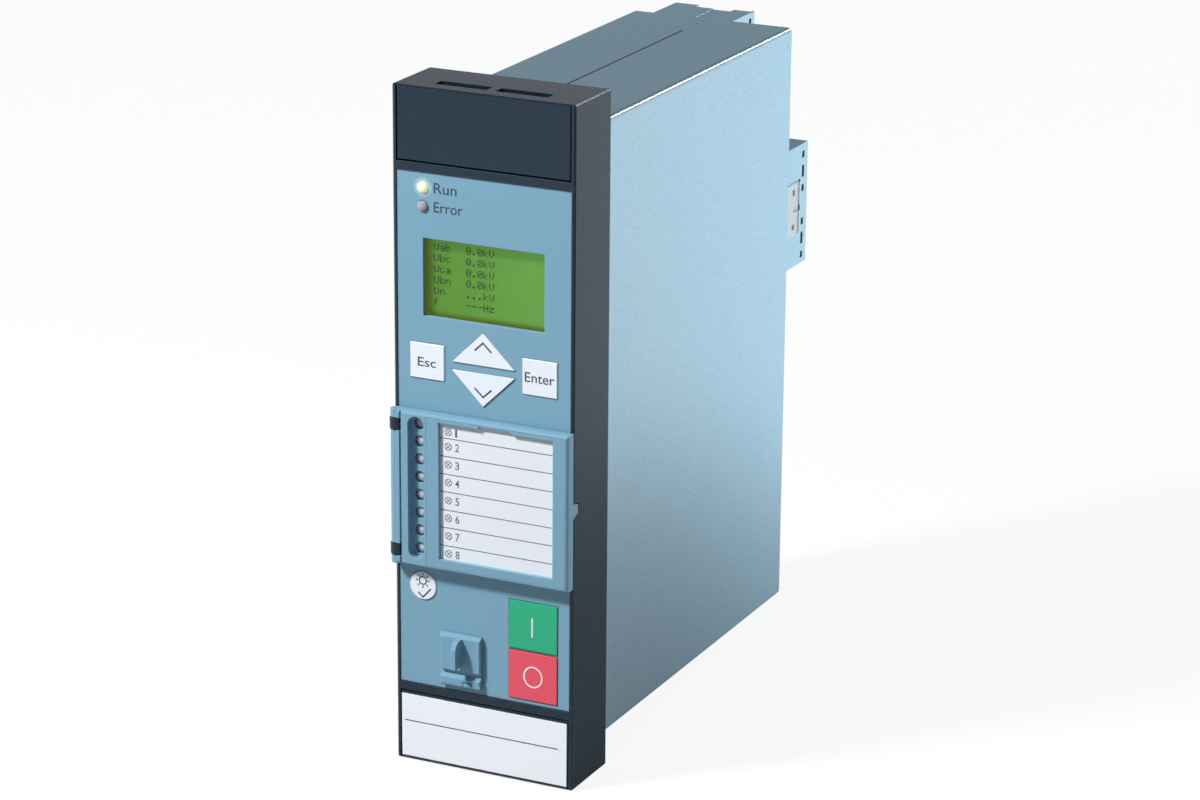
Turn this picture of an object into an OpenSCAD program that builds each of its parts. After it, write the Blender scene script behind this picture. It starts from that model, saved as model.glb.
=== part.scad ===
// Flush-mounted protection relay: a narrow upright front with a display, keys and
// a hinged label flap, and a deep sheet-metal housing behind it.
// X is to the right, Y to the rear and Z up. Y = 0 is the plane that meets the
// cubicle's sheet, and the origin is the middle of the four mounting holes.

/* [Front frame] */
// Width of the front frame
front_w = 75; // [73:1:85]
// Height of the front frame
front_h = 266; // [264:1:290]
// Depth of the front frame
front_d = 29; // [27:0.5:36]
// Side wall of the frame, seen from the front
rim_t = 1.5; // [1.2:0.1:2.2]
// Ledge that the panel rests on
ledge_w = 1.2; // [0.8:0.1:1.6]
// Rear flange
flange_t = 3; // [2:0.5:4]
// Bar between a cap and the panel
bar_h = 3.3; // [2.4:0.1:4]
// Cut along the front edges
edge_cut = 0.7; // [0.3:0.1:1.2]
// Cut along the frame's four long edges
long_cut = 0.5; // [0.2:0.1:0.8]

/* [Mounting holes] */
// From the front frame's side to the middle of a hole
hole_side_in = 9.35; // [8:0.05:12]
// From the front frame's end to the middle of a hole
hole_end_in = 5.1; // [4.5:0.1:6]
// Diameter of a hole
hole_d = 5; // [4:0.1:5.4]

/* [End caps] */
// Wall of a cap
cap_t = 2; // [1.6:0.1:3]
// Gap round a cap
cap_gap = 0.2; // [0.1:0.05:0.4]
// Length of a side web of a cap
cap_web_d = 14; // [8:1:18]
// Snap tongue's width
tongue_w = 8; // [5:1:12]
// Snap tongue's thickness
tongue_t = 1.2; // [0.8:0.1:2]
// Distance between the snap tongues
tongue_pitch = 44; // [38:1:50]
// Length of a lever slot
slot_l = 21.5; // [12:0.5:26]
// Width of a lever slot
slot_w = 5.6; // [4.6:0.1:8]
// Rib between the two slots
slot_rib = 3.4; // [2:0.1:6]
// Distance from the front to the slots
slot_in = 6.3; // [4:0.1:9]
// Margin of the nameplate at its sides
plate_side = 0.5; // [0.3:0.1:3]
// Margin of the nameplate at its ends
plate_end = 1.4; // [1:0.1:4]
// Nameplate
plate_t = 0.5; // [0.4:0.1:1]
// Depth of the nameplate's recess
plate_sunk = 0.3; // [0.1:0.1:0.6]

/* [Panel] */
// Height of the control panel
panel_h = 202; // [201:1:206]
// Thickness of the control panel
panel_t = 3; // [2.4:0.1:4]
// How far the panel lies behind the frame's face
panel_inset = 0.4; // [0.2:0.1:1]
// Gap round the panel and the pieces let into it
fit_gap = 0.1; // [0.05:0.05:0.2]
// Space between the panel and the front board
board_gap = 6; // [5.4:0.1:8]
// Thickness of every circuit board
board_t = 1.6; // [1.2:0.1:2.4]
// Post that carries the front board
post_d = 5; // [4:0.1:6]
// Shaft of the small screws
screw_d = 3; // [2.5:0.1:3.5]
// Head of the small screws
screw_head_d = 5.5; // [5:0.1:6.5]
// Height of a small screw's head
screw_head_h = 2.4; // [1.6:0.1:3]

/* [Display] */
// Width of the display window
lcd_w = 50.2; // [40:0.1:54]
// Height of the display window
lcd_h = 30; // [24:0.1:32]
// From the panel's top edge down to the window's middle
lcd_drop = 40; // [38:0.5:41]
// Overlap of the clear window behind the panel
window_lap = 2; // [1:0.1:2]
// Clear window
window_t = 1.2; // [0.8:0.1:1.6]
// Depth of the display glass in its metal frame
lcd_sunk = 0.4; // [0.2:0.1:1]
// Overlap of the display module past the window
lcd_lap = 0.3; // [0.2:0.1:0.4]

/* [Keys] */
// Escape and enter keys: width
key_w = 14.4; // [11:0.1:15]
// Escape and enter keys: height
key_h = 13.8; // [11:0.1:16]
// Escape and enter keys: from the frame's opening to their middle
key_in = 12.6; // [12:0.1:14]
// From the panel's top edge down to the middle of the keypad
keypad_drop = 72.4; // [72:0.1:74]
// Arrow keys: space between them and the keys at their sides
arrow_side = 3.2; // [3:0.1:5]
// Arrow keys: height
arrow_h = 12.65; // [10:0.1:13]
// Space between the two arrow keys
arrow_gap = 3.15; // [2.4:0.1:4]
// Lamp reset key: from the frame's opening to its middle
lamp_key_in = 10.2; // [9:0.1:11]
// Lamp reset key: diameter
lamp_key_d = 11.3; // [9:0.1:12]
// Lamp reset key: from the panel's bottom edge up to its middle
lamp_key_rise = 40.3; // [38:0.1:42]
// Switching keys: width
switch_key_w = 20.4; // [16:0.1:21]
// Switching keys: height
switch_key_h = 19.3; // [16:0.1:19.8]
// Switching keys: from the frame's opening to their middle
switch_key_in = 15.15; // [14.5:0.05:18]
// Switching keys: from the panel's bottom edge up to the lower one's middle
open_key_rise = 11.3; // [11:0.1:13]
// Distance between the two switching keys
switch_pitch = 20.2; // [20:0.1:22]
// Gap round every key
key_gap = 0.25; // [0.15:0.05:0.35]
// How far a key stands out of the panel
key_proud = 0.5; // [0.4:0.1:1]
// Cut round a key's front
key_cut = 0.25; // [0.1:0.05:0.4]
// Travel of a key
key_travel = 0.6; // [0.3:0.1:0.8]
// Wing behind the panel that keeps a key in
key_wing = 1.2; // [0.8:0.1:1.4]
// Thickness of that wing
wing_t = 1; // [0.8:0.1:1.2]
// Height of an arrow key's wing bar
wing_bar = 4; // [3:0.1:5]
// Height of a key's wings
wing_h = 9; // [6:0.1:10]
// Stem of a key
stem_d = 4; // [3:0.1:5]
// Base of a key switch
switch_base = 6; // [5:0.1:7]
// Height of a key switch
switch_h = 3; // [2.5:0.1:3]
// Plunger of a key switch
plunger_d = 3.4; // [2.5:0.1:4]
// Height of that plunger
plunger_h = 1; // [0.6:0.1:1.2]

/* [Lamps] */
// Diameter of a lamp
led_d = 4; // [3:0.1:4.2]
// Radius of a lamp's round top
led_round = 3; // [2.2:0.1:5]
// Gap round a lamp in the panel
led_gap = 0.15; // [0.1:0.05:0.25]
// How far a lamp stands out of the panel
led_proud = 1.5; // [1:0.1:2]
// From the panel's top edge down to the upper lamp
run_drop = 5.7; // [5:0.1:8]
// Distance between the two upper lamps
run_pitch = 7.1; // [6:0.1:9]
// Upper lamps: from the frame's opening to their middle
run_in = 11; // [10:0.1:14]
// Number of lamps behind the flap
led_count = 8; // [4:1:8]
// Distance between them
led_pitch = 7.07; // [6:0.01:7.2]
// From the flap's top edge down to the first lamp
led_drop = 5; // [5:0.1:6]
// From the frame's left side to the row of lamps
led_in = 11.5; // [11:0.1:12]

/* [Label flap] */
// From the panel's top edge down to the flap's top edge
flap_drop = 91.5; // [90:0.1:92]
// Height of the flap
flap_h = 61; // [58:0.5:62]
// Thickness of the flap
flap_t = 4.5; // [4:0.1:5.5]
// Gap between the flap and the frame's face
flap_gap = 0.3; // [0.25:0.05:0.6]
// Cut along the flap's front edges
flap_cut = 0.8; // [0.3:0.1:1.2]
// Hinge pin
pin_d = 2; // [1.6:0.1:2.4]
// Radial clearance of a pin in its bore
pin_clear = 0.05; // [0.03:0.01:0.1]
// Wall of the hinge barrel past the pin's ends
barrel_end = 1.5; // [1:0.1:3]
// Height of a hinge knuckle
knuckle_h = 4.3; // [3:0.1:6]
// Distance of a knuckle's middle from the flap's end
knuckle_in = 5.6; // [5:0.1:9]
// How far a knuckle stands out past the flap
knuckle_proud = 0.35; // [0.1:0.05:0.6]
// Gap between a knuckle and the flap
knuckle_gap = 0.35; // [0.3:0.05:0.6]
// How deep a knuckle's foot reaches behind the panel
knuckle_foot = 2; // [1:0.1:3]
// Groove beside the hinge barrel: width
groove_w = 0.8; // [0.4:0.1:1]
// Groove beside the hinge barrel: depth
groove_d = 0.9; // [0.4:0.1:1.2]
// Lamp channel: width
channel_w = 6.8; // [6:0.1:7]
// Lamp channel: depth
channel_d = 3.2; // [2:0.1:3.4]
// Lamp hole in the flap
lamp_hole_d = 4.6; // [4:0.1:5]
// From the row of lamps to the label frame
insert_in = 4.4; // [4:0.1:5]
// Wall round the label frame
flap_wall = 1.1; // [0.8:0.1:1.6]
// Label frame
insert_t = 1.5; // [1:0.1:1.8]
// Gap round the label frame
insert_gap = 0.1; // [0.05:0.05:0.2]
// Label card
card_t = 0.3; // [0.2:0.1:0.5]
// Margin of the card inside the label frame
card_in = 1; // [0.5:0.1:1.6]
// Left bar of the label frame
bar_left = 5.2; // [4:0.1:7]
// Right bar of the label frame
bar_right = 5.2; // [4:0.1:7]
// Top bar of the label frame
bar_top = 1.4; // [1.3:0.1:2]
// Bottom bar of the label frame
bar_bottom = 3.4; // [2:0.1:5]
// Finger notch in the top bar: width
notch_w = 13.8; // [8:0.1:18]
// Finger notch in the top bar: height
notch_h = 0.9; // [0.5:0.1:1]
// Hollow behind the flap
hollow_d = 1.2; // [0.6:0.1:1.2]
// Rib behind the flap
rib_t = 1; // [0.6:0.1:2]
// Hollows across the flap
hollow_columns = 3; // [1:1:5]
// Hollows up the flap
hollow_rows = 2; // [1:1:4]
// Latch tab: height where it leaves the flap
tab_h = 6.1; // [4:0.1:8]
// Latch tab: drop of its upper edge to the rear
tab_drop = 1.1; // [0:0.1:2]
// Latch tab: rise of its lower edge to the rear
tab_slope = 1.6; // [1:0.1:3]
// Latch tab: reach behind the flap
tab_reach = 4; // [3:0.1:6]
// Latch tab: thickness
tab_t = 1; // [0.8:0.1:1.5]
// Gap round the tab in the frame's side
tab_gap = 0.4; // [0.25:0.05:0.6]

/* [Port cover] */
// Width of the port cover
cover_w = 17; // [15:0.1:19]
// Height of the port cover
cover_h = 21.1; // [20:0.1:23]
// Thickness of the port cover
cover_t = 2.2; // [2:0.1:3]
// From the frame's opening at the left to the cover's middle
cover_in = 26.9; // [26:0.1:28]
// From the panel's bottom edge up to the cover
cover_rise = 2.4; // [1.8:0.1:5]
// Gap between the cover and the panel
cover_gap = 0.3; // [0.25:0.05:0.6]
// Cut along the cover's top edge
cover_cut = 1.2; // [0.5:0.1:1.6]
// Cover's hinge pin
cover_pin_d = 1; // [0.8:0.1:1.2]
// Hinge ear of the panel: width
ear_w = 3.4; // [2.5:0.1:5]
// Gap at each side of the ear
ear_gap = 0.3; // [0.2:0.05:0.5]
// Hinge ear: distance right of the cover's middle
ear_x = 3.1; // [1:0.1:4]
// Grip fin of the cover: thickness
fin_t = 1.9; // [1.5:0.1:3]
// Grip fin: how far it stands out
fin_out = 5.5; // [4:0.1:7]
// Grip fin: height
fin_h = 10.8; // [8:0.1:12]
// Grip fin: radius at its outer top edge
fin_round = 3.8; // [2:0.1:4]
// From the cover's bottom edge up to the groove across it
fold_rise = 5.1; // [4.6:0.1:6]
// Groove across the cover: height
fold_h = 1.7; // [1:0.1:2.5]
// Groove across the cover: depth
fold_d = 1.6; // [1:0.1:1.6]
// Wall of the cover past the pin's ends
cover_end = 1.2; // [0.8:0.1:2]
// Socket body: width
socket_w = 12; // [11:0.1:13]
// Socket body: height
socket_h = 11; // [10:0.1:12]
// Socket's mouth: width
mouth_w = 8.5; // [8:0.1:9]
// Socket's mouth: height
mouth_h = 7.8; // [7.4:0.1:8]
// Socket's mouth: cut at its upper corners
mouth_cut = 1.6; // [1:0.1:2]
// Socket's tongue: width
socket_tongue_w = 5.4; // [4:0.1:6]
// Socket's tongue: height
socket_tongue_h = 3; // [2:0.1:3.4]
// Wall behind the socket's mouth
socket_back = 1.2; // [0.8:0.1:2]
// How far the socket lies behind the panel's face
socket_inset = 0.3; // [0.1:0.1:1]

/* [Housing] */
// Width of the housing
body_w = 71; // [70:0.5:72]
// Height of the housing
body_h = 243; // [240:1:246]
// Depth of the housing behind the front frame
body_d = 172; // [165:1:200]
// Sheet of the housing
sheet_t = 1.2; // [0.8:0.1:1.6]
// Outer radius of the housing's bends
bend_r = 2; // [1.8:0.1:4]
// Seam on top, left of the centre line
seam_x = 1.5; // [0:0.1:4]
// Width of the seam
seam_gap = 0.3; // [0.1:0.05:0.5]
// Strip inside the seam, past the seam
strip_w = 7; // [4:0.1:8]
// Lips at the top and bottom of the housing's ends
lip_h = 16; // [14:0.5:17]
// Lips at the sides of the housing's ends
lip_w = 6; // [6:0.1:7]
// Post that carries the front board: distance from the panel's ends
post_in = 9; // [8:0.1:10]
// Screws of the rear plate: distance from the housing's top and bottom
screw_in = 8; // [7:0.1:10]
// Screws of the rear plate: distance from the housing's sides
rear_screw_in = 5; // [4.6:0.1:5.4]
// Screws of the frame: distance from the centre line
frame_screw_x = 20; // [17:0.1:21]
// Screws of the frame: from the bar under a cap to their middle
frame_screw_in = 3.6; // [3.4:0.1:5]
// Gap round a screw's shaft
screw_gap = 0.1; // [0.05:0.05:0.2]

/* [Terminals] */
// Sheet of the brackets
bracket_t = 1; // [0.8:0.1:1.5]
// Depth of the brackets behind the housing
bracket_d = 22; // [20:0.5:26]
// Width of the upper bracket
top_bracket_w = 35.5; // [32:0.5:36]
// From the housing's left side to the upper bracket
top_bracket_in = 9.5; // [9:0.1:10.5]
// Depth of the cut in the upper bracket's rear edge
top_cut_d = 3.5; // [1:0.1:3.8]
// Width of that cut
top_cut_w = 15.7; // [10:0.1:18]
// From the upper bracket's left side to that cut
top_cut_in = 10.6; // [8:0.1:13]
// From the upper bracket's left side to the step in its top plate
top_step_in = 18.5; // [16:0.1:24]
// Depth of that step
top_step = 0.4; // [0.2:0.1:0.6]
// Width of the side bracket
side_bracket_w = 8.7; // [8:0.1:10]
// From the housing's right side to the side bracket
side_bracket_in = 1; // [0.8:0.1:2]
// Height of the side bracket's middle
side_bracket_z = 43.9; // [40:0.1:46]
// Slots: distance from the bracket's rear edge
bracket_slot_in = 4.6; // [4:0.1:6]
// Slots: length of the large ones
bracket_slot_l = 4.9; // [4:0.1:5.5]
// Slots: length of the small ones
bracket_slot_s = 2.7; // [2:0.1:3.5]
// Slots: width
bracket_slot_w = 2.6; // [2:0.1:3]
// Slots: distance from one to the next
bracket_slot_pitch = 7.1; // [6.5:0.1:7.4]
// Number of terminals in a column
rows = 8; // [6:1:8]
// Distance between terminals
row_pitch = 5.6; // [5.2:0.1:5.8]
// End of a block past its last terminal
block_end = 1.5; // [1:0.1:2]
// How far a bracket reaches past its block
bracket_over = 1; // [0.8:0.1:2]
// Depth of a terminal block
block_d = 17; // [15:0.5:18]
// Gap between a block and its bracket
block_gap = 0.2; // [0.1:0.05:0.4]
// Screw well
well_d = 3.6; // [3:0.1:4]
// Depth of a screw well
well_depth = 6; // [4:0.5:8]
// Head of a terminal screw
terminal_head_d = 3.2; // [2.5:0.1:3.4]
// Height of that head
terminal_head_h = 1.6; // [1:0.1:2]
// Driver slot in a screw head
driver_slot = 0.6; // [0.4:0.1:0.8]
// Wire entry: width
wire_w = 4.2; // [3:0.1:5]
// Wire entry: height
wire_h = 3.6; // [3:0.1:4.4]
// Depth of a wire entry
wire_d = 8; // [5:0.5:10]
// Lower block: height of its middle below the centre
lower_block_z = 57; // [50:1:65]
// Spring clip on the side bracket: length
clip_l = 12; // [10:0.1:13]
// Spring clip: height
clip_h = 22; // [18:0.1:24]
// Spring clip: thickness
clip_t = 0.5; // [0.4:0.1:0.6]
// Spring clip: raised rear edge
clip_edge = 1; // [0.6:0.1:1.5]
// Square holes in the clip
clip_hole = 2.4; // [1.5:0.1:3]
// Distance between those holes
clip_hole_pitch = 14.6; // [10:0.1:15]
// Slots in the side bracket behind the clip: width
clip_slot_w = 1.8; // [1:0.1:2]
// Slots behind the clip: height of the middle one
clip_slot_mid = 5.9; // [4:0.1:7]
// Slots behind the clip: height of the outer ones
clip_slot_h = 7.6; // [5:0.1:8]
// Web between those slots
clip_web = 1; // [0.8:0.1:2]
// Earthing screw: shaft
earth_d = 4; // [3.5:0.1:5]
// Earthing screw: head
earth_head_d = 8; // [7:0.1:9]
// Earthing screw: washer
earth_washer_d = 10; // [9.5:0.1:11]

/* [Boards] */
// Processor board, left of the centre line
cpu_x = 20; // [18:0.5:21]
// Input and output board, right of the centre line
io_x = 14; // [13.5:0.5:15]
// Front edge of the two boards behind the mounting plane
boards_y = 6; // [4:0.5:10]
// Space behind the two boards
boards_rear = 12; // [10:0.5:16]
// Board guide: width
guide_w = 6; // [5:0.1:7]
// Board guide: height
guide_h = 5; // [4:0.1:6]
// Groove of a board guide
guide_groove = 3; // [2:0.1:3.5]
// Plug block of the boards: thickness
plug_t = 10; // [8:0.5:12]
// Plug block of the boards: height
plug_h = 40; // [30:1:45]
// Lap of a plug block on its board
plug_lap = 12; // [8:0.5:16]
// Measuring transformer: side
measure_side = 26; // [20:0.5:28]
// Measuring transformer: thickness of its core
measure_core = 10; // [8:0.5:14]
// Measuring transformer: coil
measure_coil = 20; // [16:0.5:21]
// Distance between measuring transformers
measure_pitch = 34; // [30:1:36]
// Measuring transformers: behind the boards' front edge
measure_in = 44; // [36:1:48]
// Measuring transformers: height of the lower ones
measure_z = 48; // [44:1:52]
// Output relay: height off the board
relay_x = 15.5; // [12:0.5:18]
// Output relay: length
relay_y = 28; // [22:0.5:28]
// Output relay: width
relay_z = 10; // [8:0.1:11]
// Distance between output relays
relay_pitch = 12.5; // [12:0.1:13]
// Number of output relays
relay_count = 8; // [4:1:8]
// Mains transformer: height off the board
mains_x = 26; // [20:0.5:28]
// Mains transformer: side
mains_side = 34; // [28:0.5:38]
// Mains transformer: height of its middle below the centre
mains_z = 20; // [16:1:26]
// Capacitor: diameter
capacitor_d = 14; // [10:0.5:15]
// Capacitor: length
capacitor_l = 26; // [20:0.5:28]
// Distance between capacitors
capacitor_pitch = 18; // [16:0.5:20]
// Number of capacitors
capacitor_count = 3; // [1:1:3]
// Capacitors: height below the centre
capacitor_z = 70; // [60:1:90]
// Input coupler: height off the board
coupler_t = 4; // [3:0.1:6]
// Input coupler: length
coupler_l = 9; // [7:0.1:11]
// Input coupler: width
coupler_w = 6.5; // [5:0.1:7]
// Number of input couplers
coupler_count = 8; // [4:1:10]
// Input couplers: behind the boards' front edge
coupler_in = 60; // [40:1:90]
// Distance between input couplers
coupler_pitch = 9; // [8:0.1:10]
// Processor chip: side
chip_side = 28; // [20:1:32]
// Processor chip: thickness
chip_t = 2; // [1:0.1:3]
// Processor chip: behind the board's front edge
chip_in = 50; // [30:1:90]
// Memory chip: thickness
memory_t = 1.4; // [1:0.1:2]
// Memory chip: length
memory_l = 14; // [10:0.5:20]
// Memory chip: width
memory_w = 9; // [6:0.5:12]
// Distance from the processor chip to a memory chip
memory_pitch = 28; // [26:1:40]
// Header between the front board and the processor board: width
header_w = 8; // [5:0.5:10]
// Header between the front board and the processor board: height
header_h = 60; // [40:1:80]
// Buffer battery: diameter
battery_d = 12; // [10:0.1:12.5]
// Buffer battery: length
battery_l = 26; // [20:0.5:28]
// Height of the battery holder's saddle
holder_h = 9; // [7:0.1:10]
// Wall of the battery holder
holder_t = 1.5; // [1:0.1:2.5]
// Clearance of the battery in its holder
battery_gap = 0.3; // [0.2:0.05:0.5]

/* [Hidden] */
$fn = 48;

// Overlap that lets a cut pass clear through a face
over = 1;

// Colours
slate = "#343e48";
panel_blue = "#82acc6";
key_white = "#ebf0f8";
sheet_blue = "#b0cfe0";
board_green = "#2f6b45";
steel = "#b8bcc0";
black = "#23272b";

// Planes from the front to the rear
face_y = -front_d;
panel_y = face_y + panel_inset;
panel_back = panel_y + panel_t;
board_y = panel_back + board_gap;
board_back = board_y + board_t;
shell_d = body_d - sheet_t;
rear_y = body_d;

// Front frame
open_w = front_w - 2 * rim_t;
cavity_w = open_w - 2 * ledge_w;
cavity_h = panel_h - 2 * ledge_w;
panel_top = panel_h / 2;
panel_bottom = -panel_h / 2;
cap_z = panel_top + bar_h;
cap_w = open_w - 2 * cap_gap;
cap_high = front_h / 2 - cap_z - cap_gap;
cap_mid = front_h / 2 - cap_high / 2;
cap_d = front_d - flange_t;
hole_x = front_w - 2 * hole_side_in;
hole_z = front_h - 2 * hole_end_in;
flange_window_w = body_w - 2 * (sheet_t + lip_w);
flange_window_h = cavity_h - 2 * bar_h;

// Places on the panel
side_x = open_w / 2;
key_x = side_x - key_in;
arrow_w = key_x - key_w / 2 - arrow_side;
lamp_key_x = lamp_key_in - side_x;
switch_key_x = side_x - switch_key_in;
run_x = run_in - side_x;
lcd_z = panel_top - lcd_drop;
keypad_z = panel_top - keypad_drop;
up_z = keypad_z + arrow_gap / 2;
down_z = keypad_z - arrow_gap / 2;
lamp_key_z = panel_bottom + lamp_key_rise;
open_key_z = panel_bottom + open_key_rise;
close_key_z = open_key_z + switch_pitch;
key_front = panel_y - key_proud;
key_back = panel_back + wing_t;
stem_end = board_y - switch_h - key_travel - fit_gap;
run_z = panel_top - run_drop;
error_z = run_z - run_pitch;
post_x = cavity_w / 2 - post_d / 2 - key_wing / 2;
post_high = panel_top - post_in;
post_low = panel_bottom + post_in;
post_right = close_key_z + switch_key_h / 2 + key_wing + post_d;

// Flap and its hinge
flap_back = face_y - flap_gap;
flap_y = flap_back - flap_t;
flap_top = panel_top - flap_drop;
flap_bottom = flap_top - flap_h;
flap_z = flap_top - flap_h / 2;
barrel_r = flap_t / 2;
hinge_x = -front_w / 2 + barrel_r;
hinge_y = flap_back - barrel_r;
knuckle_r = barrel_r + knuckle_proud;
knuckle_zs = [flap_top - knuckle_in, flap_bottom + knuckle_in];
led_x = -front_w / 2 + led_in;
led_first = flap_top - led_drop;
led_last = led_first - (led_count - 1) * led_pitch;
insert_left = led_x + insert_in;
insert_right = front_w / 2 - flap_wall;
insert_top = flap_top - flap_wall;
insert_bottom = flap_bottom + flap_wall;
window_left = insert_left + bar_left;
window_right = insert_right - bar_right;
window_top = insert_top - bar_top;
window_bottom = insert_bottom + bar_bottom;

// Port cover
cover_back = panel_y - cover_gap;
cover_y = cover_back - cover_t;
cover_bottom = panel_bottom + cover_rise;
cover_top = cover_bottom + cover_h;
cover_r = cover_t / 2;
cover_hinge_y = cover_back - cover_r;
cover_hinge_z = cover_bottom + cover_r;
cover_mid = cover_in - side_x;
ear_mid = cover_mid + ear_x;
notch_z = cover_bottom + cover_t + ear_gap;
fold_z = cover_bottom + fold_rise;
fin_top = cover_top - cover_cut;
socket_z = (notch_z + cover_top) / 2;
socket_y = panel_y + socket_inset;

// Housing
inner_h = body_h - 2 * sheet_t;
screw_z = body_h / 2 - screw_in;
rear_screw_x = body_w / 2 - rear_screw_in;
frame_screw_z = cap_z + frame_screw_in;

// Terminals
block_h = rows * row_pitch + 2 * block_end;
bracket_h = block_h + 2 * bracket_over;
web_y = rear_y + bracket_t;
clip_end = web_y + clip_l;
top_left = -body_w / 2 + top_bracket_in;
top_mid = top_left + top_bracket_w / 2;
top_z = body_h / 2 - bracket_h / 2;
side_right = body_w / 2 - side_bracket_in;
side_mid = side_right - side_bracket_w / 2;
top_block_w = top_bracket_w - 2 * (bracket_t + block_gap);
side_block_w = side_bracket_w - 2 * (bracket_t + block_gap);
wide_columns = [-1, 1];
column_x = top_block_w / 4;
top_block_z = body_h / 2 - bracket_t - block_gap - block_h / 2;
earth_x = body_w / 2 - lip_w - earth_washer_d / 2;
earth_z = lip_h + earth_washer_d / 2 + over - inner_h / 2;

// Boards inside
board_high = inner_h / 2 - guide_h + guide_groove - fit_gap;
boards_end = shell_d - sheet_t - boards_rear;
io_left = io_x - board_t / 2;
io_right = io_x + board_t / 2;
cpu_right = -cpu_x + board_t / 2;
measure_y = boards_y + measure_in;
upper_plug_z = inner_h / 2 - lip_h - over - plug_h / 2;
relay_row_y = boards_end - relay_y / 2 - plug_lap - over;
coupler_y = boards_y + coupler_in;
chip_y = boards_y + chip_in;
battery_y = -flange_t - holder_t - battery_gap - battery_d / 2;
battery_z = -cap_mid;

// Flat outline in X and Z, standing from y0 towards the rear
module upright(y0, depth) {
    translate([0, y0 + depth, 0]) rotate([90, 0, 0]) linear_extrude(depth) children();
}

// Outline in Y and Z, standing from x0 to the right
module sideways(x0, width) {
    translate([x0, 0, 0]) rotate([90, 0, 90]) linear_extrude(width) children();
}

// Box from its lowest corner to its highest corner
module box(low, high) {
    translate(low) cube(high - low);
}

// Round rod along Y, from y0 towards the rear
module rod(x, y0, z, d, length) {
    translate([x, y0, z]) rotate([-90, 0, 0]) cylinder(d = d, h = length);
}

// Block whose front face is at Y = 0, with its four front edges cut
module front_block(w, h, d, cut) {
    intersection() {
        translate([0, 0, -h / 2]) linear_extrude(h)
            polygon([[-w / 2 + cut, 0], [w / 2 - cut, 0], [w / 2, cut], [w / 2, d], [-w / 2, d],
                [-w / 2, cut]]);
        sideways(-w / 2, w)
            polygon([[0, -h / 2 + cut], [0, h / 2 - cut], [cut, h / 2], [d, h / 2], [d, -h / 2],
                [cut, -h / 2]]);
    }
}

// Rectangle with its corners cut off
module cut_corners(w, h, cut)
    polygon([[cut - w / 2, -h / 2], [w / 2 - cut, -h / 2], [w / 2, cut - h / 2], [w / 2, h / 2 - cut],
        [w / 2 - cut, h / 2], [cut - w / 2, h / 2], [-w / 2, h / 2 - cut], [-w / 2, cut - h / 2]]);

// Rectangle with round corners
module rounded(w, h, r) {
    square([w - 2 * r, h], center = true);
    square([w, h - 2 * r], center = true);
    for (x = [-1, 1], z = [-1, 1]) translate([x * (w / 2 - r), z * (h / 2 - r)]) circle(r);
}

// Corners of an arrow that points up from its base, grown on all sides
function arrow(half, high, grow) = let (slope = sqrt(half * half + high * high),
    reach = half + grow * (slope + half) / high)
    [[-reach, -grow], [reach, -grow], [0, high + grow * slope / half]];

// Small screw along Y with its head towards the front: head face at y0
module front_screw(x, y0, z, length) {
    difference() {
        rod(x, y0, z, screw_head_d, screw_head_h);
        upright(y0 - over, over + screw_head_h / 2) translate([x, z]) circle(d = screw_d, $fn = 6);
    }
    rod(x, y0 + screw_head_h - fit_gap, z, screw_d, length + fit_gap);
}

// Frame: side walls, two bars, ledge for the panel, rear flange and hinge knuckles
module bezel_frame() color(slate) {
    difference() {
        intersection() {
            translate([0, face_y, 0]) front_block(front_w, front_h, front_d, edge_cut);
            upright(face_y, front_d) cut_corners(front_w, front_h, long_cut);
        }
        box([-open_w / 2, face_y - over, panel_bottom], [open_w / 2, panel_back, panel_top]);
        box([-cavity_w / 2, panel_back - over, -cavity_h / 2],
            [cavity_w / 2, -flange_t, cavity_h / 2]);
        box([-flange_window_w / 2, -flange_t - over, -flange_window_h / 2],
            [flange_window_w / 2, over, flange_window_h / 2]);
        sideways(open_w / 2 - over, (front_w - open_w) / 2 + 2 * over) tab_outline(tab_gap);
        for (end = [0, 1]) mirror([0, 0, end]) {
            box([-open_w / 2, face_y - over, cap_z], [open_w / 2, -flange_t, front_h / 2 + over]);
            for (x = [-1, 1]) {
                rod(x * hole_x / 2, -flange_t - over, hole_z / 2, hole_d, flange_t + 2 * over);
                rod(x * frame_screw_x, -flange_t - over, frame_screw_z, screw_d + 2 * screw_gap,
                    flange_t + 2 * over);
            }
        }
    }
    for (z = knuckle_zs) knuckle(z);
}

// Hinge knuckle: a barrel round the pin, with a foot that runs into the side wall
module knuckle(z) {
    difference() {
        union() {
            translate([hinge_x, hinge_y, z - knuckle_h / 2]) cylinder(r = knuckle_r, h = knuckle_h);
            box([-front_w / 2, hinge_y, z - knuckle_h / 2],
                [hinge_x + knuckle_r, panel_back + knuckle_foot, z + knuckle_h / 2]);
        }
        translate([hinge_x, hinge_y, z - knuckle_h / 2 - over])
            cylinder(d = pin_d + 2 * pin_clear, h = knuckle_h + 2 * over);
    }
}

// Cap over the mounting screws: front and end wall, side webs and snap tongues
module cap_shape() {
    difference() {
        translate([0, face_y, cap_mid]) front_block(cap_w, cap_high, cap_d, edge_cut);
        box([-cap_w / 2 + tongue_t, face_y + cap_t, cap_z],
            [cap_w / 2 - tongue_t, over, front_h / 2 - cap_t]);
        box([-front_w / 2, face_y + cap_web_d, cap_z], [front_w / 2, over, front_h / 2 - cap_t]);
        for (side = [0, 1]) mirror([side, 0, 0])
            box([slot_rib / 2, face_y + slot_in, front_h / 2 - cap_t - over],
                [slot_rib / 2 + slot_l, face_y + slot_in + slot_w, front_h / 2 + over]);
    }
    for (x = [-1, 1]) translate([x * tongue_pitch / 2, 0, 0])
        box([-tongue_w / 2, face_y + cap_t - fit_gap, cap_z + cap_gap],
            [tongue_w / 2, face_y + cap_web_d, cap_z + cap_gap + tongue_t]);
}

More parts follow.
